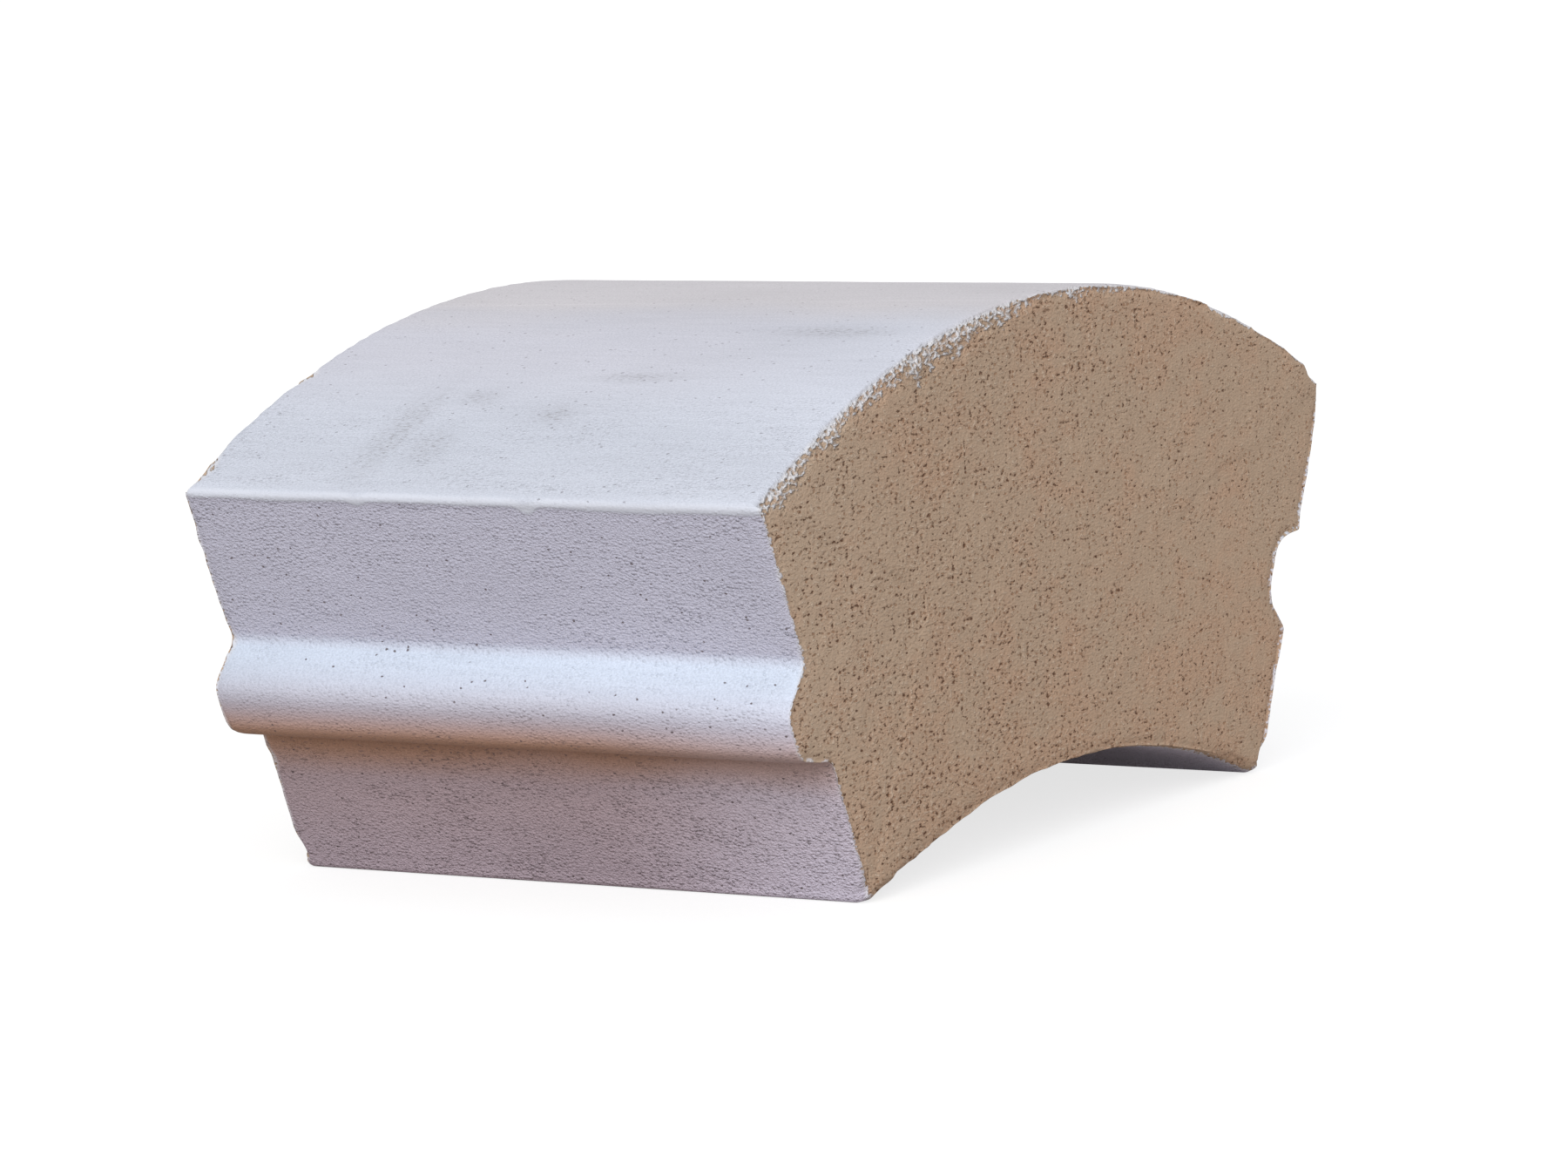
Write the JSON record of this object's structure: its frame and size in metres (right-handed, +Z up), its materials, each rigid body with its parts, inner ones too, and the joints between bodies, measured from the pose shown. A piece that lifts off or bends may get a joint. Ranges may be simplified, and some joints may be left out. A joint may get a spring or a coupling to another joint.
{
  "type": "refractory brick",
  "caption": "Wedge-shaped arch block of fired refractory clay with a curved top, hollow soffit, and a tongue and matching groove on its joint faces.",
  "frame": {"origin": "middle of the rectangle that the block stands in, on the level of its feet", "axes": "+X along the axis of the arch, +Y from the tongue face towards the groove face, +Z up towards the outer arc"},
  "size_m": [0.23, 0.3986, 0.19],
  "materials": {
    "fired_clay": "matt porous fired clay, with a brushed white wash on the outer arc and joint faces"
  },
  "bodies": {
    "root": {"brick": "fired_clay"}
  },
  "joints": []
}
